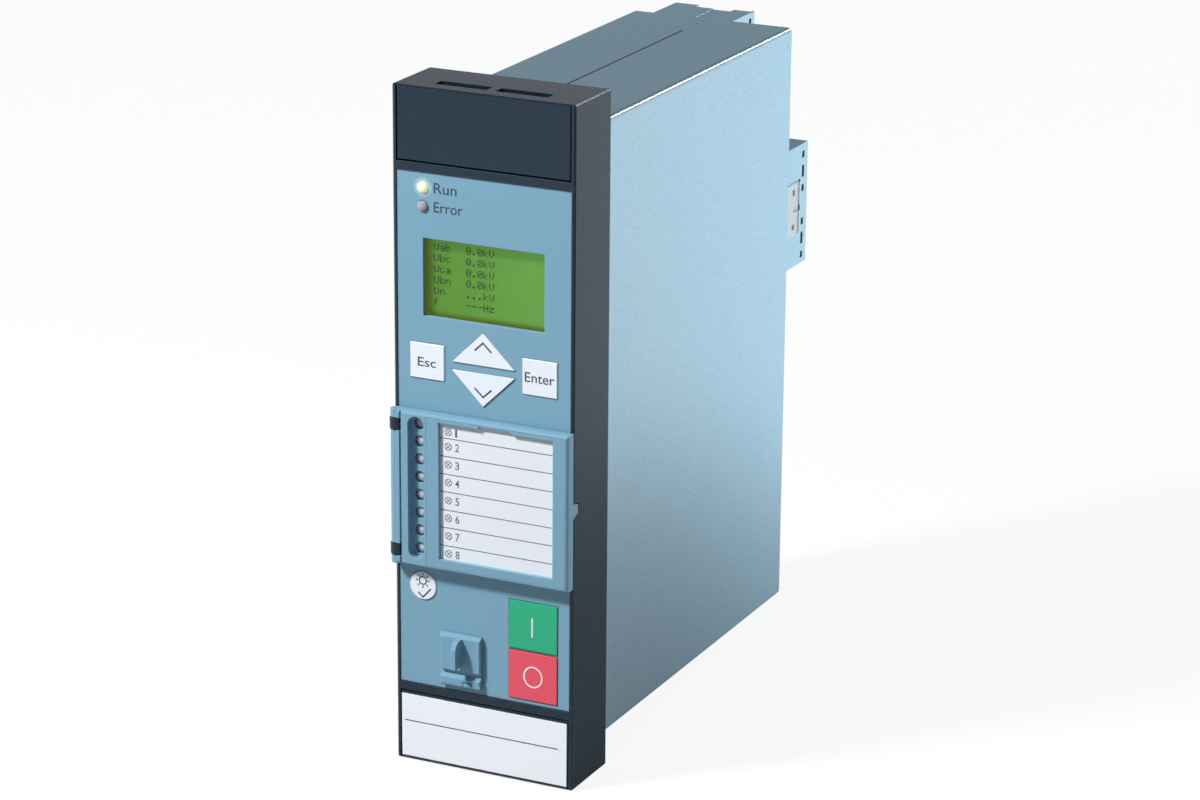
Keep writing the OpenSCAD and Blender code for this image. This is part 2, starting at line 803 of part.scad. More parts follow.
module top_cap() color(slate) cap_shape();

module bottom_cap() color(slate) difference() {
    mirror([0, 0, 1]) cap_shape();
    upright(face_y - over, over + plate_sunk) translate([0, -cap_mid])
        square([cap_w - 2 * plate_side, cap_high - 2 * plate_end], center = true);
}

module nameplate() color("#e8ecf3")
    upright(face_y + plate_sunk - plate_t, plate_t) translate([0, -cap_mid])
        square([cap_w - 2 * (plate_side + fit_gap), cap_high - 2 * (plate_end + fit_gap)],
            center = true);

// Places of the posts between the panel and the front board
function post_places() = [[-post_x, post_high], [post_x, post_high], [-post_x, flap_z],
    [post_x, flap_z], [-post_x, post_low], [post_x, post_right]];

// Outlines of the keys, grown by the gap where they are holes
module oblong_key(w, h, grow) square([w + 2 * grow, h + 2 * grow], center = true);

module key_holes(grow) {
    for (x = [-1, 1]) translate([x * key_x, keypad_z]) oblong_key(key_w, key_h, grow);
    translate([0, up_z]) polygon(arrow(arrow_w, arrow_h, grow));
    translate([0, down_z]) mirror([0, 1]) polygon(arrow(arrow_w, arrow_h, grow));
    translate([lamp_key_x, lamp_key_z]) circle(d = lamp_key_d + 2 * grow);
    for (z = [open_key_z, close_key_z]) translate([switch_key_x, z])
        oblong_key(switch_key_w, switch_key_h, grow);
}

// Panel: plate with every cut-out, posts for the board and an ear for the cover
module front_panel() color(panel_blue) {
    difference() {
        upright(panel_y, panel_t)
            square([open_w - 2 * fit_gap, panel_h - 2 * fit_gap], center = true);
        upright(panel_y - over, panel_t + 2 * over) {
            key_holes(key_gap);
            translate([0, lcd_z]) square([lcd_w, lcd_h], center = true);
            for (z = [run_z, error_z]) translate([run_x, z]) circle(d = led_d + 2 * led_gap);
            for (i = [0 : led_count - 1]) translate([led_x, led_first - i * led_pitch])
                circle(d = led_d + 2 * led_gap);
            translate([cover_mid, socket_z])
                square([socket_w + 2 * fit_gap, socket_h + 2 * fit_gap], center = true);
        }
        upright(panel_back - window_t, window_t + over) translate([0, lcd_z])
            square([lcd_w + 2 * window_lap, lcd_h + 2 * window_lap], center = true);
        for (z = knuckle_zs)
            box([-open_w / 2 - over, panel_y - over, z - knuckle_h / 2 - fit_gap],
                [hinge_x + knuckle_r + fit_gap, panel_back + over, z + knuckle_h / 2 + fit_gap]);
    }
    for (place = post_places()) difference() {
        rod(place[0], panel_back - fit_gap, place[1], post_d, board_gap + fit_gap);
        rod(place[0], panel_back, place[1], screw_d + 2 * screw_gap, board_gap + over);
    }
    cover_ear();
}

// Ear in the cover's notch that carries the cover's pin
module cover_ear() difference() {
    union() {
        translate([ear_mid - ear_w / 2, cover_hinge_y, cover_hinge_z]) rotate([0, 90, 0])
            cylinder(r = cover_r, h = ear_w);
        box([ear_mid - ear_w / 2, cover_hinge_y, cover_hinge_z - cover_r],
            [ear_mid + ear_w / 2, panel_y + fit_gap, cover_hinge_z + cover_r]);
    }
    cover_pin_hole();
}

module cover_pin_hole()
    translate([cover_mid - cover_w / 2 + cover_end, cover_hinge_y, cover_hinge_z])
        rotate([0, 90, 0]) cylinder(d = cover_pin_d + 2 * pin_clear, h = cover_w - 2 * cover_end);

module display_window() color("#d8e6ea", 0.4)
    upright(panel_back - window_t, window_t) translate([0, lcd_z])
        square([lcd_w + 2 * (window_lap - fit_gap), lcd_h + 2 * (window_lap - fit_gap)],
            center = true);

// Display module: metal frame round the glass, standing on the front board
module lcd_module() color("#6fa04a") difference() {
    upright(panel_back + fit_gap, board_gap - fit_gap) translate([0, lcd_z])
        square([lcd_w + 2 * (window_lap + lcd_lap), lcd_h + 2 * (window_lap + lcd_lap)],
            center = true);
    upright(panel_back, fit_gap + lcd_sunk) translate([0, lcd_z]) square([lcd_w, lcd_h], center = true);
}

// Stem of a key, towards its switch
module key_stem(x, z) rod(x, key_back - fit_gap, z, stem_d, stem_end - key_back + fit_gap);

// Oblong key: cap through the panel, wings behind it, and a stem
module oblong_key_shape(x, z, w, h) {
    translate([x, key_front, z]) front_block(w, h, key_back - key_front, key_cut);
    upright(panel_back, wing_t) translate([x, z]) square([w + 2 * key_wing, wing_h], center = true);
    key_stem(x, z);
}

// Arrow key that points up, with its base at Z = 0
module arrow_key_shape() {
    upright(key_front, key_back - key_front) polygon(arrow(arrow_w, arrow_h, 0));
    upright(panel_back, wing_t) translate([0, wing_bar / 2])
        square([2 * (arrow_w + key_wing), wing_bar], center = true);
    key_stem(0, arrow_h / 3);
}

module esc_key() color(key_white) oblong_key_shape(-key_x, keypad_z, key_w, key_h);

module enter_key() color(key_white) oblong_key_shape(key_x, keypad_z, key_w, key_h);

module up_key() color(key_white) translate([0, 0, up_z]) arrow_key_shape();

module down_key() color(key_white) translate([0, 0, down_z]) mirror([0, 0, 1]) arrow_key_shape();

module lamp_key() color(key_white) {
    translate([lamp_key_x, key_front, lamp_key_z]) rotate([-90, 0, 0]) rotate_extrude()
        polygon([[0, 0], [lamp_key_d / 2 - key_cut, 0], [lamp_key_d / 2, key_cut],
            [lamp_key_d / 2, key_back - key_front], [0, key_back - key_front]]);
    rod(lamp_key_x, panel_back, lamp_key_z, lamp_key_d + 2 * key_wing, wing_t);
    key_stem(lamp_key_x, lamp_key_z);
}

module close_key() color("#26aa7d")
    oblong_key_shape(switch_key_x, close_key_z, switch_key_w, switch_key_h);

module open_key() color("#e85062")
    oblong_key_shape(switch_key_x, open_key_z, switch_key_w, switch_key_h);

// Switches on the front board, one behind each key's stem
module key_switches() color(black)
    for (place = [[-key_x, keypad_z], [key_x, keypad_z], [0, up_z + arrow_h / 3],
        [0, down_z - arrow_h / 3], [lamp_key_x, lamp_key_z], [switch_key_x, close_key_z],
        [switch_key_x, open_key_z]]) {
        upright(board_y - switch_h + plunger_h, switch_h - plunger_h) translate(place)
            square(switch_base, center = true);
        rod(place[0], board_y - switch_h, place[1], plunger_d, plunger_h + fit_gap);
    }

// Dome lamp that stands on the front board, with its top at y0
module led(x, z, y0) {
    intersection() {
        translate([x, y0 + led_round, z]) sphere(led_round);
        rod(x, y0, z, led_d, led_round);
    }
    rod(x, y0 + led_round - over, z, led_d, board_y - y0 - led_round + over);
    rod(x, board_y - wing_t, z, led_d + wing_t, wing_t);
}

module run_led() color("#f2ecc8") led(run_x, run_z, panel_y - led_proud);

module error_led() color("#c9c3c8") led(run_x, error_z, panel_y - led_proud);

module indicator_leds() color("#8f8ba0")
    for (i = [0 : led_count - 1]) led(led_x, led_first - i * led_pitch, panel_y - led_proud);

module front_board() color(board_green) difference() {
    upright(board_y, board_t) square([cavity_w - 2 * fit_gap, cavity_h - 2 * fit_gap], center = true);
    for (place = post_places())
        rod(place[0], board_y - over, place[1], screw_d + 2 * screw_gap, board_t + 2 * over);
}

// Screws from behind that hold the front board on the panel's posts
module panel_screws() color(steel) for (place = post_places()) {
    rod(place[0], board_back, place[1], screw_head_d, screw_head_h);
    rod(place[0], panel_back + board_gap / 2, place[1], screw_d, board_gap / 2 + board_t + fit_gap);
}

// Flap: barrel and plate with a lamp channel, a bed for the label and a latch tab
module label_flap() color(panel_blue) difference() {
    union() {
        translate([(hinge_x + front_w / 2) / 2, flap_y, flap_z])
            front_block(front_w / 2 - hinge_x, flap_h, flap_t, flap_cut);
        translate([hinge_x, hinge_y, flap_bottom]) cylinder(r = barrel_r, h = flap_h);
        sideways(front_w / 2 - tab_t, tab_t) tab_outline(0);
    }
    box([hinge_x + barrel_r, flap_y - over, flap_bottom - over],
        [hinge_x + barrel_r + groove_w, flap_y + groove_d, flap_top + over]);
    for (z = knuckle_zs)
        box([-front_w, flap_y - over, z - knuckle_h / 2 - knuckle_gap],
            [hinge_x + knuckle_r + knuckle_gap, flap_back + over, z + knuckle_h / 2 + knuckle_gap]);
    upright(flap_y - over, channel_d + over) {
        for (z = [led_first, led_last]) translate([led_x, z]) circle(d = channel_w);
        translate([led_x, (led_first + led_last) / 2])
            square([channel_w, led_first - led_last], center = true);
    }
    for (i = [0 : led_count - 1])
        rod(led_x, flap_y, led_first - i * led_pitch, lamp_hole_d, flap_t + over);
    box([insert_left, flap_y - over, insert_bottom],
        [insert_right, flap_y + insert_t + card_t, insert_top]);
    flap_hollows();
    translate([hinge_x, hinge_y, flap_bottom + barrel_end])
        cylinder(d = pin_d + 2 * pin_clear, h = flap_h - 2 * barrel_end);
}

// Side view of the latch tab behind the flap, wider by a gap
module tab_outline(gap) {
    back = flap_back + tab_reach + gap;
    high = flap_z + tab_h / 2 + gap;
    low = flap_z - tab_h / 2 - gap;
    polygon([[flap_back - tab_t, high], [flap_back, high], [back, high - tab_drop],
        [back, low + tab_slope], [flap_back, low], [flap_back - tab_t, low]]);
}

// Hollows behind the label bed, with ribs between them
module flap_hollows() {
    wide = (insert_right - insert_left - rib_t) / hollow_columns;
    high = (insert_top - insert_bottom - rib_t) / hollow_rows;
    for (column = [0 : hollow_columns - 1], row = [0 : hollow_rows - 1])
        translate([insert_left + column * wide, flap_back - hollow_d, insert_bottom + row * high])
            translate([rib_t, 0, rib_t]) cube([wide - rib_t, hollow_d + over, high - rib_t]);
}

// Frame that holds the card down, with its window and finger notch
module label_frame() color(panel_blue) difference() {
    box([insert_left + insert_gap, flap_y, insert_bottom + insert_gap],
        [insert_right - insert_gap, flap_y + insert_t, insert_top - insert_gap]);
    box([window_left, flap_y - over, window_bottom], [window_right, flap_y + insert_t + over, window_top]);
    translate([(window_left + window_right) / 2, 0, 0])
        box([-notch_w / 2, flap_y - over, window_top - over],
            [notch_w / 2, flap_y + insert_t + over, window_top + notch_h]);
}

module label_strip() color("#f1f3f7")
    box([insert_left + card_in, flap_y + insert_t, insert_bottom + card_in],
        [insert_right - card_in, flap_y + insert_t + card_t, insert_top - insert_gap]);

module hinge_pin() color(steel)
    translate([hinge_x, hinge_y, flap_bottom + barrel_end + fit_gap])
        cylinder(d = pin_d, h = flap_h - 2 * (barrel_end + fit_gap));

// Port cover: plate, hinge barrel and grip fin, with a groove above the hinge block
module usb_cover() color(panel_blue) {
    difference() {
        union() {
            translate([cover_mid, cover_y, (cover_hinge_z + cover_top) / 2])
                front_block(cover_w, cover_top - cover_hinge_z, cover_t, edge_cut / 2);
            translate([cover_mid - cover_w / 2, cover_hinge_y, cover_hinge_z]) rotate([0, 90, 0])
                cylinder(r = cover_r, h = cover_w);
        }
        sideways(cover_mid - cover_w, 2 * cover_w) {
            polygon([[cover_y - over, cover_top - cover_cut - over],
                [cover_y + cover_cut + over, cover_top + over], [cover_y - over, cover_top + over]]);
            polygon([[cover_y - over, fold_z + fold_h], [cover_y + fold_d, fold_z + fold_h],
                [cover_y + fold_d, fold_z], [cover_y - over, fold_z - fold_d - over]]);
        }
        box([ear_mid - ear_w / 2 - ear_gap, cover_y - over, cover_bottom - over],
            [ear_mid + ear_w / 2 + ear_gap, panel_y + over, notch_z]);
        cover_pin_hole();
    }
    cover_fin();
}

// Grip fin: an upright blade with a round outer top edge
module cover_fin() sideways(cover_mid - fin_t / 2, fin_t) {
    translate([cover_y - fin_out + fin_round, fin_top - fin_round]) circle(fin_round);
    translate([cover_y - fin_out + fin_round, fin_top - fin_h])
        square([fin_out - fin_round + fit_gap, fin_h]);
    translate([cover_y - fin_out, fin_top - fin_h]) square([fin_out + fit_gap, fin_h - fin_round]);
}

module usb_cover_pin() color(steel)
    translate([cover_mid - cover_w / 2 + cover_end + fit_gap, cover_hinge_y, cover_hinge_z])
        rotate([0, 90, 0]) cylinder(d = cover_pin_d, h = cover_w - 2 * (cover_end + fit_gap));

// Square socket for the service plug, with its tongue
module usb_socket() color(steel) {
    depth = board_y - socket_y;
    difference() {
        upright(socket_y, depth) translate([cover_mid, socket_z])
            square([socket_w, socket_h], center = true);
        upright(socket_y - over, depth + over - socket_back) translate([cover_mid, socket_z])
            polygon([[-mouth_w / 2, -mouth_h / 2], [mouth_w / 2, -mouth_h / 2],
                [mouth_w / 2, mouth_h / 2 - mouth_cut], [mouth_w / 2 - mouth_cut, mouth_h / 2],
                [mouth_cut - mouth_w / 2, mouth_h / 2], [-mouth_w / 2, mouth_h / 2 - mouth_cut]]);
    }
    upright(socket_y + socket_back, depth - 2 * socket_back + fit_gap) translate([cover_mid, socket_z])
        square([socket_tongue_w, socket_tongue_h], center = true);
}

// One side of the seam: left of it, or right of it
module half(side) {
    intersection() {
        children();
        translate([-seam_x + side * (body_w + seam_gap / 2), 0])
            square([2 * body_w, 2 * body_h], center = true);
    }
}

// Half shell: bent sheet with a lip at its front and at its rear
module half_shell(side) {
    difference() {
        union() {
            upright(0, shell_d) half(side) difference() {
                rounded(body_w, body_h, bend_r);
                rounded(body_w - 2 * sheet_t, inner_h, bend_r - sheet_t);
            }
            for (y = [0, shell_d - sheet_t]) upright(y, sheet_t) half(side) difference() {
                rounded(body_w - sheet_t, body_h - sheet_t, bend_r - sheet_t / 2);
                square([flange_window_w, inner_h - 2 * lip_h], center = true);
            }
        }
        for (z = [-1, 1], x = [-1, 1]) {
            rod(x * frame_screw_x, -over, z * frame_screw_z, screw_d + 2 * screw_gap, sheet_t + 2 * over);
            rod(x * rear_screw_x, shell_d - sheet_t - over, z * screw_z, screw_d + 2 * screw_gap,
                sheet_t + 2 * over);
        }
    }
}

// Left shell, with the strips inside the seam that carry the right shell's edges
module housing_left() color(sheet_blue) {
    half_shell(-1);
    for (end = [0, 1]) mirror([0, 0, end]) {
        box([-seam_x - strip_w, sheet_t + fit_gap, inner_h / 2 - sheet_t],
            [-seam_x + strip_w, shell_d - sheet_t - fit_gap, inner_h / 2]);
        box([-seam_x - strip_w, sheet_t + fit_gap, inner_h / 2 - fit_gap],
            [-seam_x - seam_gap, shell_d - sheet_t - fit_gap, inner_h / 2 + fit_gap]);
    }
}

module housing_right() color(sheet_blue) half_shell(1);

module rear_plate() color(sheet_blue) difference() {
    upright(shell_d, sheet_t) rounded(body_w, body_h, bend_r);
    for (z = [-1, 1], x = [-1, 1])
        rod(x * rear_screw_x, shell_d - over, z * screw_z, screw_d + 2 * screw_gap,
            sheet_t + 2 * over);
    rod(earth_x, shell_d - over, earth_z, earth_d + 2 * screw_gap, sheet_t + 2 * over);
}

module rear_screws() color(steel) for (z = [-1, 1], x = [-1, 1])
    translate([x * rear_screw_x, rear_y, z * screw_z]) rotate([0, 0, 180])
        front_screw(0, -screw_head_h, 0, 2 * sheet_t);

// Screws in the cap pockets that hold the frame on the housing's front lips
module frame_screws() color(steel) for (z = [-1, 1], x = [-1, 1])
    front_screw(x * frame_screw_x, -flange_t - screw_head_h, z * frame_screw_z, flange_t + sheet_t);

// Slots near the rear edge of a bracket's flange, cut along X
module bracket_slots(x, z) {
    for (side = [-1, 1], step = [1 : 3]) {
        high = step == 2 ? bracket_slot_l : bracket_slot_s;
        translate([x, rear_y + bracket_d - bracket_slot_in, z + side * step * bracket_slot_pitch])
            cube([2 * over + bracket_t, bracket_slot_w, high], center = true);
    }
}

// Folded bracket: web on the rear plate and a flange on each side
module bracket(mid, z, width) {
    difference() {
        box([mid - width / 2, rear_y, z - bracket_h / 2],
            [mid + width / 2, rear_y + bracket_d, z + bracket_h / 2]);
        box([mid - width / 2 + bracket_t, web_y, z - bracket_h],
            [mid + width / 2 - bracket_t, rear_y + bracket_d + over, z + bracket_h]);
        for (side = [-1, 1]) bracket_slots(mid + side * (width - bracket_t) / 2, z);
    }
}

// Upper bracket, with a top plate that is cut back in the middle and stepped down to the right
module top_bracket() color(sheet_blue) {
    bracket(top_mid, top_z, top_bracket_w);
    difference() {
        box([top_left, rear_y, body_h / 2 - bracket_t],
            [top_left + top_bracket_w, rear_y + bracket_d, body_h / 2]);
        box([top_left + top_cut_in, rear_y + bracket_d - top_cut_d, body_h / 2 - bracket_t - over],
            [top_left + top_cut_in + top_cut_w, rear_y + bracket_d + over, body_h / 2 + over]);
        box([top_left + top_step_in, rear_y - over, body_h / 2 - top_step],
            [top_left + 2 * top_bracket_w, rear_y + 2 * bracket_d, body_h / 2 + over]);
    }
}

// Side bracket, with a plate over its upper end and three slots behind the clip
module side_bracket() color(sheet_blue) difference() {
    union() {
        bracket(side_mid, side_bracket_z, side_bracket_w);
        translate([0, 0, side_bracket_z + bracket_h / 2])
            box([side_mid - side_bracket_w / 2, rear_y, -fit_gap],
                [side_right, rear_y + bracket_d, bracket_t]);
    }
    for (step = [-1 : 1]) {
        high = step == 0 ? clip_slot_mid : clip_slot_h;
        far = step * ((clip_slot_mid + clip_slot_h) / 2 + clip_web);
        translate([side_right, clip_end + fit_gap + clip_slot_w / 2, side_bracket_z + far])
            cube([2 * (bracket_t + over), clip_slot_w, high], center = true);
    }
}

// Spring clip on the outside of the side bracket
module bracket_clip() color(steel) {
    difference() {
        union() {
            box([side_right, web_y, side_bracket_z - clip_h / 2],
                [side_right + clip_t, clip_end, side_bracket_z + clip_h / 2]);
            box([side_right, clip_end - clip_edge, side_bracket_z - clip_h / 2],
                [side_right + 2 * clip_t, clip_end, side_bracket_z + clip_h / 2]);
        }
        for (z = [-1, 1])
            translate([side_right, web_y + clip_l / 2, side_bracket_z + z * clip_hole_pitch / 2])
                cube([2 * over, clip_hole, clip_hole], center = true);
        box([side_right - over, web_y + clip_l / 2, side_bracket_z - clip_hole / 2],
            [side_right + 2 * over, web_y + 2 * clip_l, side_bracket_z + clip_hole / 2]);
    }
}

// Terminal block: screw wells, and wire entries beside them where there is room
module terminal_block(mid, y0, z, width, columns, wires) {
    rear = y0 + block_d;
    difference() {
        box([mid - width / 2, y0, z - block_h / 2], [mid + width / 2, rear, z + block_h / 2]);
        for (column = columns, row = [0 : rows - 1]) {
            row_z = z + (row - (rows - 1) / 2) * row_pitch;
            rod(mid + column * column_x - column * wires * wire_w / 2, rear - well_depth, row_z,
                well_d, well_depth + over);
            if (wires > 0)
                translate([mid + column * (column_x + wire_w), rear - wire_d / 2 + over / 2, row_z])
                    cube([wire_w, wire_d + over, wire_h], center = true);
        }
    }
}

module top_terminal_block() color(black)
    terminal_block(top_mid, web_y, top_block_z, top_block_w, wide_columns, 1);

module side_terminal_block() color(black)
    terminal_block(side_mid, web_y, side_bracket_z, side_block_w, [0], 0);

module lower_terminal_block() color(black)
    terminal_block(top_mid, rear_y, -lower_block_z, top_block_w, wide_columns, 1);

// Screws at the bottom of one block's wells
module block_screws(mid, y0, z, columns, wires) {
    for (column = columns, row = [0 : rows - 1])
        translate([mid + column * column_x - column * wires * wire_w / 2,
            y0 + block_d - well_depth, z + (row - (rows - 1) / 2) * row_pitch])
            difference() {
                rod(0, 0, 0, terminal_head_d, terminal_head_h);
                translate([0, terminal_head_h, 0])
                    cube([terminal_head_d + over, terminal_head_h, driver_slot], center = true);
            }
}

module terminal_screws() color(steel) {
    block_screws(top_mid, web_y, top_block_z, wide_columns, 1);
    block_screws(side_mid, web_y, side_bracket_z, [0], 0);
    block_screws(top_mid, rear_y, -lower_block_z, wide_columns, 1);
}

// Earthing screw with its washer, through the rear plate
module earth_screw() color("#c9a94e") {
    rod(earth_x, rear_y, earth_z, earth_washer_d, sheet_t);
    difference() {
        rod(earth_x, rear_y + sheet_t - fit_gap, earth_z, earth_head_d, screw_head_h + fit_gap);
        translate([earth_x, rear_y + sheet_t + screw_head_h, earth_z])
            cube([earth_head_d + over, screw_head_h, driver_slot * 2], center = true);
    }
    rod(earth_x, shell_d - sheet_t, earth_z, earth_d, 2 * sheet_t + fit_gap);
}

// Grooved guides on the housing's top and bottom that hold the two boards
module board_guides() color(black)
    for (x = [-cpu_x, io_x], end = [0, 1]) mirror([0, 0, end]) difference() {
        box([x - guide_w / 2, boards_y, inner_h / 2 - guide_h],
            [x + guide_w / 2, boards_end, inner_h / 2]);
        box([x - board_t / 2 - fit_gap, boards_y - over, inner_h / 2 - guide_h - over],
            [x + board_t / 2 + fit_gap, boards_end + over, inner_h / 2 - guide_h + guide_groove]);
    }

module board(x) box([x - board_t / 2, boards_y, -board_high], [x + board_t / 2, boards_end, board_high]);

module cpu_board() color(board_green) board(-cpu_x);

module io_board() color(board_green) board(io_x);

// Processor and memory chips on the processor board
module logic_chips() color(black) {
    translate([cpu_right, chip_y, 0]) cube_on_board([chip_t, chip_side, chip_side]);
    for (z = [-1, 1]) translate([cpu_right, chip_y, z * memory_pitch])
        cube_on_board([memory_t, memory_l, memory_w]);
}

// Block that stands on a board's right face, centred in Y and Z
module cube_on_board(size) translate([0, -size[1] / 2, -size[2] / 2]) cube(size);

// Plug blocks between the input and output board and the rear plate
module rear_connectors() color(black) {
    for (z = [upper_plug_z, -lower_block_z])
        box([io_left - plug_t, boards_end - plug_lap, z - plug_h / 2], [io_left, shell_d, z + plug_h / 2]);
    box([io_right, boards_end - plug_lap, side_bracket_z - plug_h / 2],
        [io_right + plug_t, shell_d, side_bracket_z + plug_h / 2]);
}

// Header that joins the front board to the processor board
module board_connector() color(black)
    box([-cpu_x - header_w / 2, board_back, -header_h / 2], [-cpu_x + header_w / 2, boards_y, header_h / 2]);

// Measuring transformers: a core with a coil round it
module voltage_transformers() color("#5b5f52")
    for (y = [0, 1], z = [0, 1])
        translate([io_left, measure_y + y * measure_pitch, measure_z + z * measure_pitch]) {
            box([-measure_side, -measure_side / 2, -measure_core / 2],
                [0, measure_side / 2, measure_core / 2]);
            translate([-measure_side / 2, 0, 0])
                cube([measure_coil, measure_coil, measure_side], center = true);
        }

module output_relays() color("#2a4f7a")
    for (i = [0 : relay_count - 1])
        translate([io_left - relay_x, relay_row_y, (i - (relay_count - 1) / 2) * relay_pitch])
            cube_on_board([relay_x, relay_y, relay_z]);

module power_transformer() color("#6b5d3c") translate([io_left - mains_x, measure_y, -mains_z])
    cube_on_board([mains_x, mains_side, mains_side]);

module supply_capacitors() color("#2b2f4a")
    for (i = [0 : capacitor_count - 1])
        translate([io_left, measure_y + (i - (capacitor_count - 1) / 2) * capacitor_pitch,
            -capacitor_z]) rotate([0, -90, 0]) cylinder(d = capacitor_d, h = capacitor_l);

module input_couplers() color(black)
    for (i = [0 : coupler_count - 1])
        translate([io_right, coupler_y, (i - (coupler_count - 1) / 2) * coupler_pitch])
            cube_on_board([coupler_t, coupler_l, coupler_w]);

// Saddle on the rear flange behind the bottom cap, and the cell in it
module battery_holder() color(black) difference() {
    long = battery_l / 2 + battery_gap + holder_t;
    box([-long, battery_y, battery_z - holder_h / 2], [long, -flange_t, battery_z + holder_h / 2]);
    translate([-battery_l / 2 - battery_gap, battery_y, battery_z]) rotate([0, 90, 0])
        cylinder(d = battery_d + 2 * battery_gap, h = battery_l + 2 * battery_gap);
}

module buffer_battery() color("#3d6fa8")
    translate([-battery_l / 2, battery_y, battery_z]) rotate([0, 90, 0])
        cylinder(d = battery_d, h = battery_l);

bezel_frame();
top_cap();
bottom_cap();
nameplate();
front_panel();
display_window();
lcd_module();
esc_key();
enter_key();
up_key();
down_key();
lamp_key();
close_key();
open_key();
key_switches();
run_led();
error_led();
indicator_leds();
front_board();
panel_screws();
label_flap();
label_frame();
label_strip();
hinge_pin();
usb_cover();
usb_cover_pin();
usb_socket();
housing_left();
housing_right();
rear_plate();
rear_screws();
frame_screws();
top_bracket();
side_bracket();
bracket_clip();
top_terminal_block();
side_terminal_block();
lower_terminal_block();
terminal_screws();
earth_screw();
board_guides();
cpu_board();
logic_chips();
io_board();
rear_connectors();
board_connector();
voltage_transformers();
output_relays();
power_transformer();
supply_capacitors();
input_couplers();
battery_holder();
buffer_battery();
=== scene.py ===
from math import cos, pi, sin

import bpy
from mathutils import Matrix, Vector


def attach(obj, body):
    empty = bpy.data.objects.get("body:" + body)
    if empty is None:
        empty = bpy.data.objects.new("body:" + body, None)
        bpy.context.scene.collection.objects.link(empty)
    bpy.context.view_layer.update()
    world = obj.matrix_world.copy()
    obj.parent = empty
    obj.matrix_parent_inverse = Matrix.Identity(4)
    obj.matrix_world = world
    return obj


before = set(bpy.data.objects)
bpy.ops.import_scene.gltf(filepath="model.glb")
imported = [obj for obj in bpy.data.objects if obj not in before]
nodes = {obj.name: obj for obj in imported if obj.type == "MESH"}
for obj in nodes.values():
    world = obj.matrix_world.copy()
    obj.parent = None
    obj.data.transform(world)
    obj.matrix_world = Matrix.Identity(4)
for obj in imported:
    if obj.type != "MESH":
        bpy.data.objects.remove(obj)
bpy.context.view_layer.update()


# The studio: a white floor under the relay, a pale room round it, and soft lamps high
# at the front left, at the right and behind. The camera stands at the front right, a
# little above the relay's top. Sizes are in metres.


class Wire:
    """An output socket of a shader tree; sums written with it add Math nodes."""

    def __init__(self, tree, socket=None):
        self.tree, self.socket = tree, socket

    def add(self, kind, settings=None, values=None, out=0):
        """Adds a node: first its settings, then the values or links of its inputs."""
        node = self.tree.nodes.new("ShaderNode" + kind)
        for key, value in (settings or {}).items():
            setattr(node, key, value)
        for key, value in (values or {}).items():
            if isinstance(value, Wire):
                self.tree.links.new(value.socket, node.inputs[key])
            else:
                node.inputs[key].default_value = value
        return Wire(self.tree, node.outputs[out] if node.outputs else None)

    def math(self, operation, *terms):
        """Works out one Math node from numbers and sockets."""
        return self.add("Math", {"operation": operation}, dict(enumerate(terms)))

    def __add__(self, other):
        return self.math("ADD", self, other)

    __radd__ = __add__

    def __sub__(self, other):
        return self.math("SUBTRACT", self, other)

    def __rsub__(self, other):
        return self.math("SUBTRACT", other, self)

    def __mul__(self, other):
        return self.math("MULTIPLY", self, other)

    __rmul__ = __mul__

    def __lt__(self, other):
        return self.math("LESS_THAN", self, other)

    def __gt__(self, other):
        return self.math("GREATER_THAN", self, other)

    def ramp(self, low, high):
        """Climbs from 0 to 1 while this value goes from low to high."""
        return self.add("MapRange", {}, {"Value": self, "From Min": low, "From Max": high})

    def mix(self, first, second):
        """Goes from the first colour to the second as this value climbs to 1."""
        return self.add("Mix", {"data_type": "RGBA"}, {0: self, 6: first, 7: second}, 2)

    def along(self, axis):
        """How far this place lies along X, Y or Z."""
        return self.add("SeparateXYZ", {}, {0: self}, axis)

    def rays(self):
        """Marks the camera's own rays, and those that gloss or clear plastic sends on."""
        glossy = self.add("LightPath", out="Is Glossy Ray")
        clear = self.add("LightPath", out="Is Transmission Ray")
        return self.add("LightPath", out="Is Camera Ray"), glossy + clear


def colour(red, green, blue):
    """A colour as the eye reads it, 0 to 255, made linear for the shaders."""
    parts = [c / 255 for c in (red, green, blue)]
    linear = [c / 12.92 if c < 0.04 else ((c + 0.055) / 1.055) ** 2.4 for c in parts]
    return tuple(linear) + (1.0,)


def put(name, data):
    """Adds an object with this data to the scene."""
    made = bpy.data.objects.new(name, data)
    bpy.context.scene.collection.objects.link(made)
    return made


FLOOR_Z = -0.1335
FLOOR_REACH = 6
WHITE = (1, 1, 1, 1)
FLOOR_GLOSS_PAINTED_LIGHT = (1.06, 1.21, 1.29, 1)
ROOM_LIGHT = (0.84, 1.02, 1.14, 1)
ROOM_LEVEL = 0.18

corners = [(-1, -1), (1, -1), (1, 1), (-1, 1)]
floor_mesh = bpy.data.meshes.new("floor")
floor_mesh.from_pydata([(x * FLOOR_REACH, y * FLOOR_REACH, FLOOR_Z) for x, y in corners],
                       [], [(0, 1, 2, 3)])
floor = put("floor", floor_mesh)
floor_paint = bpy.data.materials.new("white_floor")
floor_paint.use_nodes = True
floor_paint.node_tree.nodes.clear()
floor_mesh.materials.append(floor_paint)
start = Wire(floor_paint.node_tree)
camera_ray, mirror_ray = start.rays()
place = start.add("TexCoord", out="Object")
away = start.add("VectorMath", {"operation": "LENGTH"}, {0: place}, "Value")
# Seen in gloss, the floor carries painted shade and light: it is darker near the relay and grows
# paler and bluish farther off, behind it at the right. The camera still sees it white.
far = away.ramp(0.1, 0.42)
behind = (place.along("Y") - 1.7 * place.along("X")).ramp(0.0, 0.25)
bleached = 0.9 + 0.1 * away.ramp(0.6, 3.0)
grey = start.add("BsdfDiffuse", {}, {"Color": (0.3, 0.3, 0.3, 1)})
pale = start.add("BsdfDiffuse", {}, {"Color": (0.9, 0.9, 0.9, 1)})
